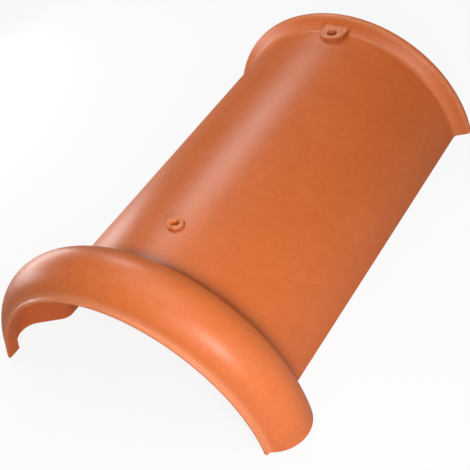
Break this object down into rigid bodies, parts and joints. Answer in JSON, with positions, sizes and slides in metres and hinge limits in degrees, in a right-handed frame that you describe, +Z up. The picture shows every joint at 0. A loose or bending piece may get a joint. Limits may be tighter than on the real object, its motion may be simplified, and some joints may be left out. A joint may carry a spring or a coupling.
{
  "type": "ventilated ridge tile",
  "caption": "Half-round fired clay ridge tile with a hollow roll at one end, an upstand flange with a nail boss at the other, and a nail pip on the crown.",
  "frame": {"origin": "middle of the tile's footprint, level with the feet", "axes": "+Y along the ridge from the roll to the flange, +X across the ridge, +Z up"},
  "size_m": [0.3, 0.42, 0.1319],
  "materials": {
    "fired_clay": "fine matt fired clay with a faint satin sheen"
  },
  "bodies": {
    "root": {"ridge_tile": "fired_clay"}
  },
  "joints": []
}
